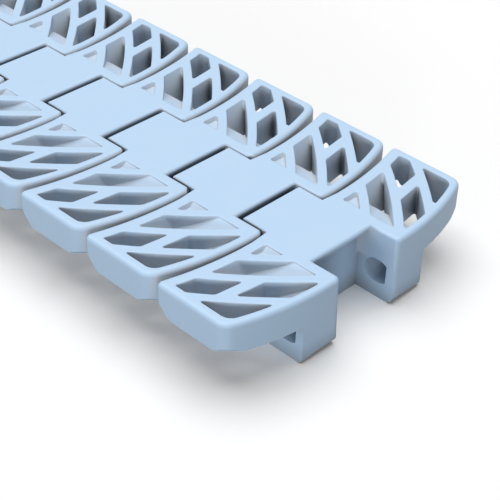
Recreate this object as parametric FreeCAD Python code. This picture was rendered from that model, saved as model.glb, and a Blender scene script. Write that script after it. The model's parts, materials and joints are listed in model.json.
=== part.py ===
import FreeCAD, Part
import math
import os
from FreeCAD import Vector

# Side-flexing belt of moulded links on D-section hinge pins, all sizes in millimetres.
# A link is drawn with its front face at x = 0, its centre line on y = 0 and its feet on z = 0.
# +X is the running direction, and the carrying deck faces +Z.

# Belt
link_count = 8
pitch = 25.4
belt_width = 86.4
link_height = 20.2

# Wing plates: the front edge bows back, and the rear edge follows the next link's front edge.
# The rear edge and the front corners are bevelled below.
plate_depth = 8.8
seam = 0.75
front_straight = 13.0
front_bow = 78.5
front_corner = 3.8
corner_bevel = 3.3
rear_straight = 15.5
rear_bow = 92.0
rear_bevel = 4.8

# Lattice of the wings: bowed diagonal ribs on a common centre, one cross bar, and rims all round
rail_offset = 13.95
front_rim = 2.15
outer_rim = 2.65
rear_rim = 3.5
rear_batter = 3.4
rib_width = 2.56
rib_spacing = 8.08
rib_bow = 140.8
rib_angle = 46.4
first_rib_place = 13.6
cross_bar_width = 3.1
cross_bar_place = 13.5
cross_bar_offset = 31.0
cross_bar_lean = 7.8
corner_cell_round = 3.2
recess_depth = 1.2
ramp_step = 0.4
ramp_angle = 25.7

# Legs, notch and deck
notch_half = 10.6
leg_width = 11.6
leg_round = 2.6
lip_depth = 1.5
wall_thickness = 3.0
deck_depth = 4.6

# Hinge
axis_setback = 5.7
axis_height = 7.9
barrel_radius = 6.0
barrel_clearance = 0.5
tongue_clearance = 0.45
tongue_tail = 1.55
deck_gap = 1.9
pin_radius = 3.35
pin_flat = 2.2
pin_recess = 0.6
pin_clearance = 0.05
flex_angle = 1.6

# Places that follow from the sizes above
half_width = belt_width / 2
plate_floor = link_height - plate_depth
rear_edge = seam - pitch
tongue_half = notch_half - tongue_clearance
leg_outer = notch_half + leg_width
hinge_x = -axis_setback
eye_x = hinge_x - pitch
tongue_end = eye_x - tongue_tail
lip_x = tongue_end + pitch - deck_gap
wall_face = hinge_x - barrel_radius - barrel_clearance
wall_back = wall_face - wall_thickness
barrel_front = eye_x + barrel_radius
belt_length = (link_count - 1) * pitch + barrel_radius - eye_x
over = 5.0
across = Vector(0, 1, 0)
upward = Vector(0, 0, 1)


def block(x, y, z):
    spans = [(min(pair), max(pair)) for pair in (x, y, z)]
    return Part.makeBox(*(high - low for low, high in spans), Vector(*(low for low, high in spans)))


def prism(points, rise):
    return Part.Face(Part.makePolygon(points + points[:1])).extrude(rise)


def mirrored(shapes):
    return shapes + [shape.mirror(Vector(), across) for shape in shapes]


def lines(*points):
    return [Part.makeLine(Vector(*start), Vector(*end)) for start, end in zip(points, points[1:])]


def filled(edges):
    return Part.Face(Part.Wire(Part.__sortEdges__(edges)))


def bowed(y, face_x, start, radius):
    return face_x - radius + math.sqrt(radius ** 2 - max(0.0, y - start) ** 2)


def bowed_run(face_x, start, radius, low, high):
    """Plan edges of a face that is straight up to start and bows back from there."""
    edges = []
    if low < start:
        edges = lines((face_x, low), (face_x, start))
        low = start
    places = (low, (low + high) / 2, high)
    arc = Part.Arc(*(Vector(bowed(y, face_x, start, radius), y, 0) for y in places))
    return edges + [arc.toShape()]


def raised(edges, low, high):
    return filled(edges).translated(upward * low).extrude(upward * (high - low))


def round_upright(solid, x, y, radius):
    """Round the upright edge that stands on one place of a solid's plan."""
    place = Vector(x, y, 0)
    uprights = [edge for edge in solid.Edges
                if all((Vector(v.X, v.Y, 0) - place).Length < 0.01 for v in edge.Vertexes)]
    return solid.makeFillet(radius, uprights)


def below_corner(tip):
    """What the bevel takes off below the right front corner, whose sharp tip is at x = tip."""
    outward = Vector(1, 1, 0).normalize()
    along = Vector(1, -1, 0).normalize()
    foot = Vector(tip - corner_bevel, half_width, plate_floor) - along * over
    points = [foot + (outward + upward) * over, foot - (outward + upward) * over,
              foot + (outward - upward) * over]
    return prism(points, along * half_width)


def wing_plate():
    """The link's whole plan at plate depth: notch in front, bowed wings, tongue behind."""
    front_tip = bowed(half_width, 0, front_straight, front_bow)
    rear_tip = bowed(half_width, rear_edge, rear_straight, rear_bow)
    edges = bowed_run(0, front_straight, front_bow, notch_half, half_width)
    edges += bowed_run(rear_edge, rear_straight, rear_bow, tongue_half, half_width)
    edges += lines((lip_x, notch_half), (0, notch_half))
    edges += lines((front_tip, half_width), (rear_tip, half_width))
    edges += lines((rear_edge, tongue_half), (tongue_end, tongue_half))
    edges = mirrored(edges)
    edges += lines((lip_x, -notch_half), (lip_x, notch_half))
    edges += lines((tongue_end, -tongue_half), (tongue_end, tongue_half))
    plate = raised(edges, plate_floor, link_height)
    for side in (half_width, -half_width):
        plate = round_upright(plate, front_tip, side, front_corner)
    return plate.cut(mirrored([below_corner(front_tip)]))


def along_rear(section):
    """A section of (distance ahead of the rear edge, height) run along a wing's rear edge."""
    points = [Vector(rear_edge + ahead, tongue_half, height) for ahead, height in section]
    run = across * (rear_straight - tongue_half)
    profile = [point + run for point in points]
    turn = math.degrees(math.asin((half_width + over - rear_straight) / rear_bow))
    centre = Vector(rear_edge - rear_bow, rear_straight, 0)
    curved = Part.Face(Part.makePolygon(profile + profile[:1])).revolve(centre, upward, turn)
    return [prism(points, run), curved]


def lattice_cells():
    """The open cells of the right wing: the space inside its rims, less what is left standing."""
    outer = half_width - outer_rim
    front = (-front_rim, front_straight, front_bow - front_rim)
    rear = (rear_edge + rear_rim, rear_straight, rear_bow + rear_rim)
    edges = bowed_run(*front, rail_offset, outer) + bowed_run(*rear, rail_offset, outer)
    for y in (rail_offset, outer):
        edges += lines((bowed(y, *front), y), (bowed(y, *rear), y))
    window = round_upright(raised(edges, plate_floor, link_height), bowed(outer, *front), outer,
                           corner_cell_round)

    lean = math.radians(rib_angle)
    centre = Vector(-first_rib_place - rib_bow * math.sin(lean),
                    rail_offset - rib_bow * math.cos(lean), plate_floor)

    def disc(radius, height=plate_depth):
        return Part.makeCylinder(radius, height, centre)

    inner, middle, last = (rib_bow + rib_spacing * number for number in range(3))
    ribs = [disc(radius + rib_width / 2).cut(disc(radius - rib_width / 2))
            for radius in (inner, middle, last)]
    recess_floor = disc(inner, plate_depth - recess_depth)
    bar = block((-cross_bar_width / 2, cross_bar_width / 2), (-half_width, half_width),
                (plate_floor, link_height))
    bar.rotate(Vector(), upward, cross_bar_lean)
    bar.translate(Vector(-cross_bar_place, cross_bar_offset, 0))
    bar = bar.common(disc(last).cut(disc(middle)))

    ramp_top = link_height - ramp_step
    ramp_foot = ramp_top - (leg_outer - rail_offset) * math.tan(math.radians(ramp_angle))
    section = ((rail_offset - over, ramp_top), (rail_offset, ramp_top), (leg_outer, ramp_foot),
               (leg_outer, plate_floor), (rail_offset - over, plate_floor))
    shoulder = prism([Vector(0, y, z) for y, z in section], Vector(rear_edge, 0, 0))

    sloped = along_rear([(0, link_height), (rear_rim, link_height),
                         (rear_rim + rear_batter, plate_floor), (0, plate_floor)])
    batter = [piece.common(disc(middle)) for piece in sloped]
    return window.cut(ribs + [bar, recess_floor, shoulder] + batter)


def leg():
    """The right hinge leg, its front face in line with the wing above it and its toe rounded."""
    edges = bowed_run(0, front_straight, front_bow, notch_half, leg_outer)
    front_x = bowed(leg_outer, 0, front_straight, front_bow)
    edges += lines((0, notch_half), (wall_back, notch_half), (wall_back, leg_outer),
                   (front_x, leg_outer))
    bend = leg_round * (1 - math.sqrt(0.5))
    toe = Part.Arc(Vector(0, 0, leg_round), Vector(-bend, 0, bend), Vector(-leg_round, 0, 0))
    waste = filled([toe.toShape()] + lines((-leg_round, 0, 0), (-leg_round, 0, -over),
                                           (over, 0, -over), (over, 0, leg_round), (0, 0, leg_round)))
    return raised(edges, 0, plate_floor).cut(waste.extrude(across * half_width))


def pin_slot():
    """The hole of the right leg: the pin's D-section drawn out along the belt for its swing."""
    radius = pin_radius + pin_clearance
    flat = pin_flat + pin_clearance
    swing = leg_outer * math.tan(math.radians(flex_angle))
    open_angle = math.acos(flat / radius)

    def on_arc(centre, angle):
        return Vector(centre + radius * math.cos(angle), 0, radius * math.sin(angle))

    back = [on_arc(-swing, quarter * math.pi / 2) for quarter in (1, 2, 3)]
    top = [on_arc(swing, angle) for angle in
           (math.pi / 2, (math.pi / 2 + open_angle) / 2, open_angle)]
    bottom = [Vector(point.x, 0, -point.z) for point in top]
    edges = [Part.Arc(*points).toShape() for points in (back, top, bottom)]
    edges += lines(back[0], top[0]) + lines(back[2], bottom[0]) + lines(top[2], bottom[2])
    return filled(edges).translated(Vector(hinge_x, 0, axis_height)).extrude(across * half_width)


def moulded_link():
    tongue = (-tongue_half, tongue_half)
    notch = (-notch_half, notch_half)
    below = plate_floor - over
    barrel = Part.makeCylinder(barrel_radius, 2 * tongue_half,
                               Vector(eye_x, -tongue_half, axis_height), across)
    bore = Part.makeCylinder(pin_radius + pin_clearance, belt_width,
                             Vector(eye_x, -half_width, axis_height), across)
    neck = block((tongue_end, barrel_front), tongue, (axis_height, link_height))
    wall = block((wall_back, wall_face), notch, (0, link_height - lip_depth))
    under_lip = block((wall_face, lip_x), notch, (below, link_height - lip_depth))
    under_deck = block((wall_back, barrel_front), tongue, (below, link_height - deck_depth))
    bevel = along_rear([(-over, plate_floor + rear_bevel + over), (rear_bevel + over, below),
                        (-over, below)])
    plate = wing_plate().cut([under_lip, under_deck] + mirrored(bevel + [lattice_cells()]))
    body = plate.fuse([wall, neck, barrel] + mirrored([leg()]))
    return body.cut([bore] + mirrored([pin_slot()])).removeSplitter().Solids[0]


def hinge_pin():
    """A length of D-section bar: its round back turns in the barrel, its flat keys it to the legs."""
    end = leg_outer - pin_recess
    bar = Part.makeCylinder(pin_radius, 2 * end, Vector(hinge_x, -end, axis_height), across)
    flat_x = hinge_x + pin_flat
    return bar.cut(block((flat_x, flat_x + pin_radius), (-end, end), (0, link_height)))


link = moulded_link()
pin = hinge_pin()
os.makedirs("parts", exist_ok=True)
for number in range(link_count):
    place = Vector(belt_length / 2 - number * pitch, 0, 0)
    link.translated(place).exportStep("parts/belt_link_%02d.step" % (number + 1))
    if number:
        pin.translated(place).exportStep("parts/hinge_pin_%02d.step" % number)
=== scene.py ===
import json
import math

import bmesh
import bpy
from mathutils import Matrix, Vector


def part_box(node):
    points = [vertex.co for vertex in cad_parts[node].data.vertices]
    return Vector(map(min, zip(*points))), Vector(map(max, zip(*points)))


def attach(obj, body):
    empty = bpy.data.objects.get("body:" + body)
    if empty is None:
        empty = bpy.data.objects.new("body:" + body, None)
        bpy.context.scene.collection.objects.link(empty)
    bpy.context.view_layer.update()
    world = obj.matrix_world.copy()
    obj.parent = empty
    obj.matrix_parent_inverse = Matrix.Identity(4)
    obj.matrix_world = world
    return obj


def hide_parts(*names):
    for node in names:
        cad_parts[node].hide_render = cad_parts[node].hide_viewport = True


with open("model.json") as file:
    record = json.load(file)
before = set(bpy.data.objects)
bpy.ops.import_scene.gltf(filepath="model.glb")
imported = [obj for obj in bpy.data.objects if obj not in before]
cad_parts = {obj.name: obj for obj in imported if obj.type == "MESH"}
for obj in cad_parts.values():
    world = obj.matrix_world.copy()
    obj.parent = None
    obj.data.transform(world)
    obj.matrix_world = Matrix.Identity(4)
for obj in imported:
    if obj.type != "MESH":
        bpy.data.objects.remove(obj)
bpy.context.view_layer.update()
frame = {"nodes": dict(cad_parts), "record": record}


# Moulded links: one-piece injection mouldings of light blue acetal, all out of the same mould. The mould
# rounds every upper edge, most of all round the wings, and fills the corners of the lattice cells. The
# tongue behind each link lies in the notch of the next one, so the decks make one flush grid.
link_names = sorted(name for name in frame["nodes"] if name.startswith("belt_link"))
body_of = {node: body for body, nodes in frame["record"]["behaviour"]["bodies"].items() for node in nodes}
per_metre = 1000.0  # the meshes are worked in millimetres
weld = 0.002
flat_angle = math.radians(0.5)
crease_angle = math.radians(22)
plate_depth = 8.8
notch_half = 10.6
notch_length = 9.3
wing_edge_round = 1.2
notch_edge_round = 0.7
tongue_edge_round = 0.35
cell_edge_round = 0.3
edge_steps = 5
cell_corner_width = 0.9
cell_corner_steps = 4
wing_corner_round = 2.0
notch_corner_round = 1.3
outline_corner_steps = 5
deep_blue = (0.470, 0.656, 0.873, 1)
pale_blue = (0.499, 0.676, 0.883, 1)
grain_depth = 0.02
# Colours of the shade painted into the recesses: grey in the cells, darker round the hinge, black in the
# seams.
cell_shade = (0.72, 0.69, 0.65, 1)
hinge_shade = (0.14, 0.13, 0.115, 1)
hinge_height = 10.0
hinge_half = 9.4
hinge_fade = 1.5
seam_shade_black = (0, 0, 0, 1)
recess_reach = 6.2
seam_contrast = 3.4
seam_depth = 0.26


def merged_copy(name):
    """A closed copy of a node's solid in millimetres, with each flat face in one piece again."""
    shell = bmesh.new()
    shell.from_mesh(frame["nodes"][name].data)
    bmesh.ops.scale(shell, vec=[per_metre] * 3, verts=shell.verts)
    bmesh.ops.remove_doubles(shell, verts=shell.verts, dist=weld)
    bmesh.ops.dissolve_limit(shell, angle_limit=flat_angle, verts=shell.verts, edges=shell.edges)
    return shell


def is_crease(edge):
    return edge.is_manifold and edge.calc_face_angle() > crease_angle


def soften(shell):
    """Smooth shading all over, with the creases kept sharp."""
    for face in shell.faces:
        face.smooth = True
    for edge in shell.edges:
        edge.smooth = not is_crease(edge)


def at_level(vertices, level):
    return all(abs(vertex.co.z - level) < weld for vertex in vertices)


def take_off(shell, level):
    """Remove the flat faces at one level, which leaves the walls' rims open there."""
    flat = [face for face in shell.faces if at_level(face.verts, level)]
    bmesh.ops.delete(shell, geom=flat, context="FACES")


def open_rims(shell, level):
    return [edge for edge in shell.edges if edge.is_boundary and at_level(edge.verts, level)]


def round_off(shell, edges, size, segments, measure="OFFSET"):
    bmesh.ops.bevel(shell, geom=edges, offset=size, offset_type=measure, affect="EDGES",
                    segments=segments, profile=0.5, material=-1, clamp_overlap=False)


def separate_rims(edges):
    """The closed rims that a set of edges falls into, the longest one last."""
    left = dict.fromkeys(edges)
    rims = []
    while left:
        rim = [left.popitem()[0]]
        for edge in rim:
            joined = [other for vertex in edge.verts for other in vertex.link_edges if other in left]
            for other in joined:
                del left[other]
            rim.extend(joined)
        rims.append(rim)
    return sorted(rims, key=lambda rim: sum(edge.calc_length() for edge in rim))


def uprights_below(rim, slant=0.7):
    """The creases that run down from a rim's corners."""
    corners = dict.fromkeys(vertex for edge in rim for vertex in edge.verts)
    ends = dict.fromkeys(edge for vertex in corners for edge in vertex.link_edges if is_crease(edge))
    return [edge for edge in ends
            if abs(edge.verts[0].co.z - edge.verts[1].co.z) > slant * edge.calc_length()]


def has_room(upright, width):
    """Whether a rounding of some width ends within the edges that meet a cell's upright corner."""
    reach = width / 2 / math.cos(upright.calc_face_angle() / 2)
    meeting = {edge for vertex in upright.verts for edge in vertex.link_edges} - {upright}
    return reach < min(edge.calc_length() for edge in meeting)


def inward(vertex, rim):
    """The way from a rim's vertex into the deck, as far as it takes to be one unit from both walls."""
    walls = [edge.link_faces[0].normal.xy.normalized() for edge in vertex.link_edges if edge in rim]
    first, second = walls
    return -(first + second) / (1 + first.dot(second))


def outline_round(vertex, way, front):
    """How far the mould rounds the outline at one place: less round the notch and along the tongue."""
    if abs(vertex.co.y) > notch_half + notch_corner_round + weld:
        return wing_edge_round
    if vertex.co.x > front - notch_length + weld:
        facing_front = way.normalized().x ** 2
        return notch_edge_round + (wing_edge_round - notch_edge_round) * facing_front
    return tongue_edge_round


def rounded_rim(shell, rim, rounding):
    """Lower a rim and run a quarter round from it up to the deck, with a radius for each vertex."""
    ways = {vertex: inward(vertex, rim) for edge in rim for vertex in edge.verts}
    sizes = {vertex: rounding(vertex, way) for vertex, way in ways.items()}
    start = {vertex: vertex.co.copy() for vertex in ways}
    for vertex, size in sizes.items():
        vertex.co.z -= size
    origin = {vertex: vertex for vertex in ways}
    for step in range(1, edge_steps + 1):
        turn = math.pi / 2 * step / edge_steps
        made = bmesh.ops.extrude_edge_only(shell, edges=rim)["geom"]
        fresh = [part for part in made if isinstance(part, bmesh.types.BMVert)]
        rim = [part for part in made if isinstance(part, bmesh.types.BMEdge) and part.is_boundary]
        places = {tuple(vertex.co): source for vertex, source in origin.items()}
        origin = {vertex: places[tuple(vertex.co)] for vertex in fresh}
        for vertex, source in origin.items():
            shift = ways[source] * sizes[source] * (1 - math.cos(turn))
            vertex.co.xy = start[source].xy + shift
            vertex.co.z = start[source].z - sizes[source] * (1 - math.sin(turn))
    return rim


def moulded_link(name):
    """A link's solid, with its upper edges and most of its upright corners rounded."""
    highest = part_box(name)[1] * per_metre
    shell = merged_copy(name)
    soften(shell)
    deck = highest.z
    underside = deck - plate_depth
    take_off(shell, deck)
    take_off(shell, underside)

    *cells, outline = separate_rims(open_rims(shell, deck))
    corners = uprights_below([edge for cell in cells for edge in cell])
    corner_ends = [vertex for corner in corners for vertex in corner.verts]
    facets = dict.fromkeys(edge for vertex in corner_ends for edge in vertex.link_edges
                           if edge.is_manifold and not is_crease(edge))
    bmesh.ops.dissolve_edges(shell, edges=list(facets))
    outer = uprights_below(outline)
    tips = [edge for edge in outer if abs(edge.verts[0].co.y) > highest.y - weld]
    noses = [edge for edge in outer if edge.verts[0].co.x > highest.x - weld]
    roomy = [edge for edge in corners if has_room(edge, cell_corner_width)]
    tight = [edge for edge in corners if edge not in roomy]
    round_off(shell, roomy, cell_corner_width, cell_corner_steps, "WIDTH")
    round_off(shell, tight, cell_corner_width / 2, cell_corner_steps, "WIDTH")
    round_off(shell, tips, wing_corner_round, outline_corner_steps)
    round_off(shell, noses, notch_corner_round, outline_corner_steps)

    *cells, outline = separate_rims(open_rims(shell, deck))
    deck_edges = rounded_rim(shell, outline, lambda vertex, way: outline_round(vertex, way, highest.x))
    for cell in cells:
        deck_edges += rounded_rim(shell, cell, lambda vertex, way: cell_edge_round)
    bmesh.ops.triangle_fill(shell, edges=deck_edges, use_beauty=True, normal=(0, 0, 1))
    bmesh.ops.triangle_fill(shell, edges=open_rims(shell, underside), use_beauty=True, normal=(0, 0, -1))
    for face in shell.faces:
        face.smooth = True
    bmesh.ops.recalc_face_normals(shell, faces=shell.faces)
    return shell


def piece_from(shell, name, finish):
    """A piece from a finished mesh in millimetres."""
    bmesh.ops.scale(shell, vec=[1 / per_metre] * 3, verts=shell.verts)
    mesh = bpy.data.meshes.new(name)
    shell.to_mesh(mesh)
    shell.free()
    mesh.materials.append(finish)
    piece = bpy.data.objects.new(name, mesh)
    bpy.context.collection.objects.link(piece)
    return piece


class Wire:
    """A shader socket that takes part in arithmetic: each operator adds a Math node to its tree."""

    def __init__(self, tree, socket=None):
        self.tree = tree
        self.socket = socket

    def node(self, kind, settings=None, output=0, **inputs):
        """A node of the tree, with its settings first and then its sockets' values or links."""
        node = self.tree.nodes.new(kind)
        for name, value in (settings or {}).items():
            setattr(node, name, value)
        for name, value in inputs.items():
            key = int(name[1:]) if name[1:].isdigit() else name.replace("_", " ")
            socket = node.inputs[key]
            if isinstance(value, Wire):
                self.tree.links.new(value.socket, socket)
            else:
                socket.default_value = value
        return Wire(self.tree, node.outputs[output])

    def maths(self, operation, first, second):
        return self.node("ShaderNodeMath", {"operation": operation}, _0=first, _1=second)

    def blend(self, share, first, second):
        """A colour between two colours."""
        return self.node("ShaderNodeMix", {"data_type": "RGBA"}, output="Result",
                         Factor=share, A=first, B=second)

    def feed(self, shader, name):
        self.tree.links.new(self.socket, shader.inputs[name])

    def __add__(self, other):
        return self.maths("ADD", self, other)

    def __sub__(self, other):
        return self.maths("SUBTRACT", self, other)

    def __rsub__(self, other):
        return self.maths("SUBTRACT", other, self)

    def __mul__(self, other):
        return self.maths("MULTIPLY", self, other)

    def __abs__(self):
        return self.maths("ABSOLUTE", self, 0)

    __radd__ = __add__
    __rmul__ = __mul__


def new_finish(name):
    """A new material, the wire that adds to its tree, and its surface shader."""
    material = bpy.data.materials.new(name)
    material.use_nodes = True
    tree = material.node_tree
    return material, Wire(tree), tree.nodes["Principled BSDF"]


def light_blue_acetal():
    """Satin acetal: faint clouds of pigment, and the fine grain of a spark-eroded mould.

    Shade is painted into the recesses as a grey film. It is darker round the hinge, and turns black in
    narrow seams.
    """
    material, wire, surface = new_finish("light_blue_acetal")
    place = wire.node("ShaderNodeTexCoord", output="Object")
    clouds = wire.node("ShaderNodeTexNoise", Vector=place, Scale=90.0, Detail=2.0)
    grain = wire.node("ShaderNodeTexNoise", Vector=place, Scale=2600.0, Detail=2.0)
    pigment = wire.blend(clouds, deep_blue, pale_blue)
    open_air = wire.node("ShaderNodeAmbientOcclusion", {"samples": 8, "only_local": False}, output="AO",
                         Distance=recess_reach / per_metre)
    height = wire.node("ShaderNodeSeparateXYZ", output="Z", Vector=place) * per_metre
    across = abs(wire.node("ShaderNodeSeparateXYZ", output="Y", Vector=place)) * per_metre
    # Painted shade: occlusion darkens the recesses towards a grey film, which is darker low down and round
    # the hinge and black in narrow seams.
    past_hinge = wire.maths("MINIMUM", height - hinge_height, across - hinge_half) * (1 / hinge_fade)
    painted_shade = wire.blend(past_hinge, hinge_shade, cell_shade)
    seam_shade = wire.blend(seam_contrast * open_air - seam_depth, seam_shade_black, painted_shade)
    wire.blend(open_air, seam_shade, pigment).feed(surface, "Base Color")
    (0.40 + 0.08 * clouds + 0.08 * grain).feed(surface, "Roughness")
    relief = wire.node("ShaderNodeBump", Strength=0.25, Distance=grain_depth / per_metre, Height=grain)
    relief.feed(surface, "Normal")
    return material


link_finish = light_blue_acetal()
for name in link_names:
    link = piece_from(moulded_link(name), name.replace("belt_link", "moulded_link"), link_finish)
    shading = link.modifiers.new("even_shading", "WEIGHTED_NORMAL")
    shading.keep_sharp = True
    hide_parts(name)
    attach(link, body_of[name])


# Hinge pins: lengths of drawn D-section steel bar, cropped and with the ends lightly chamfered. The round
# back of a pin turns in the barrel of one link, and its flat keys it to the legs of the next.
pin_names = sorted(name for name in frame["nodes"] if name.startswith("hinge_pin"))
end_chamfer = 0.4
dull_steel = (0.52, 0.53, 0.55, 1)
bright_steel = (0.66, 0.67, 0.68, 1)
streak_depth = 0.02


def chamfered_pin(name):
    shell = merged_copy(name)
    rims = [edge for edge in shell.edges
            if is_crease(edge) and len({vertex.co.y > 0 for vertex in edge.verts}) == 1]
    round_off(shell, rims, end_chamfer, 1)
    soften(shell)
    return shell


def drawn_steel():
    """Cold-drawn bar: fine lines along its length, and a dull oxide film in clouds."""
    material, wire, surface = new_finish("drawn_steel")
    place = wire.node("ShaderNodeTexCoord", output="Object")
    drawn = wire.node("ShaderNodeMapping", Vector=place, Scale=(1.0, 0.02, 1.0))
    streaks = wire.node("ShaderNodeTexNoise", Vector=drawn, Scale=3000.0, Detail=3.0)
    film = wire.node("ShaderNodeTexNoise", Vector=place, Scale=150.0, Detail=3.0)
    wire.blend(film, dull_steel, bright_steel).feed(surface, "Base Color")
    surface.inputs["Metallic"].default_value = 1.0
    (0.22 + 0.12 * streaks + 0.10 * film).feed(surface, "Roughness")
    relief = wire.node("ShaderNodeBump", Strength=0.3, Distance=streak_depth / per_metre, Height=streaks)
    relief.feed(surface, "Normal")
    return material


pin_finish = drawn_steel()
for name in pin_names:
    pin = piece_from(chamfered_pin(name), name.replace("hinge_pin", "steel_pin"), pin_finish)
    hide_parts(name)
    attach(pin, body_of[name])


# Floor and light: a plain white table under a soft, faintly warm sky. A broad and faintly cold skylight
# behind the belt throws its shadow forward, and two low lamps fill its near side and its front. To the eye,
# and in reflections, table and room are white. The light that the table gives back is dim.
floor_half = 3000.0
white = (1, 1, 1, 1)
table_glow = 0.02
table_bounce = (0.12, 0.12, 0.12, 1)
warm_sky = (1, 0.93, 0.86, 1)
sky_strength = 0.19
# Each lamp has a colour, a strength, and in degrees its spread, its tilt from overhead and its turn.
studio_lamps = {
    "sky_light": ((0.966, 0.982, 1), 0.80, 66, 15.5, 242),
    "side_light": ((1, 1, 1), 0.32, 24, 86, 6),
    "front_light": ((1, 1, 1), 0.43, 24, 86, 46),
}


def seen_directly(wire):
    """One for what the camera, a reflection or a clear body looks at, and nought for light that bounces."""
    seen = wire.node("ShaderNodeLightPath", output="Is Camera Ray")
    for ray in ("Is Glossy Ray", "Is Transmission Ray"):
        seen = wire.maths("MAXIMUM", seen, wire.node("ShaderNodeLightPath", output=ray))
    return seen


shell = bmesh.new()
bmesh.ops.create_grid(shell, x_segments=1, y_segments=1, size=floor_half)
floor_finish, wire, surface = new_finish("white_table")
surface.inputs["Base Color"].default_value = white
surface.inputs["Roughness"].default_value = 1.0
surface.inputs["Specular IOR Level"].default_value = 0.0
surface.inputs["Emission Color"].default_value = white
surface.inputs["Emission Strength"].default_value = table_glow
bounce = wire.node("ShaderNodeBsdfDiffuse", Color=table_bounce)
table = Wire(wire.tree, surface.outputs["BSDF"])
shown = wire.node("ShaderNodeMixShader", _0=seen_directly(wire), _1=bounce, _2=table)
shown.feed(wire.tree.nodes["Material Output"], "Surface")
floor = piece_from(shell, "studio_floor", floor_finish)

world = bpy.data.worlds.new("studio")
bpy.context.scene.world = world
world.use_nodes = True
wire = Wire(world.node_tree)
sky = wire.node("ShaderNodeBackground", Color=warm_sky, Strength=sky_strength)
room = wire.node("ShaderNodeBackground", Color=white, Strength=1.0)
shown = wire.node("ShaderNodeMixShader", _0=seen_directly(wire), _1=sky, _2=room)
shown.feed(world.node_tree.nodes["World Output"], "Surface")

for name, (colour, strength, spread, tilt, turn) in studio_lamps.items():
    lamp_data = bpy.data.lights.new(name, "SUN")
    lamp_data.color = colour
    lamp_data.energy = strength * math.pi
    lamp_data.angle = math.radians(spread)
    lamp = bpy.data.objects.new(name, lamp_data)
    lamp.rotation_euler = (math.radians(tilt), 0, math.radians(turn))
    lamp.visible_glossy = name == "sky_light"
    bpy.context.collection.objects.link(lamp)

camera_data = bpy.data.cameras.new("camera")
camera_data.lens = 98.1075
camera_data.sensor_width = 36.0
camera_data.clip_start = 0.01
camera = bpy.data.objects.new("camera", camera_data)
camera.location = (0.264090, -0.208488, 0.214148)
camera.rotation_euler = (math.radians(53.3614), math.radians(-1.6781), math.radians(44.4942))
bpy.context.collection.objects.link(camera)
bpy.context.scene.camera = camera
bpy.context.scene.view_settings.view_transform = "Standard"
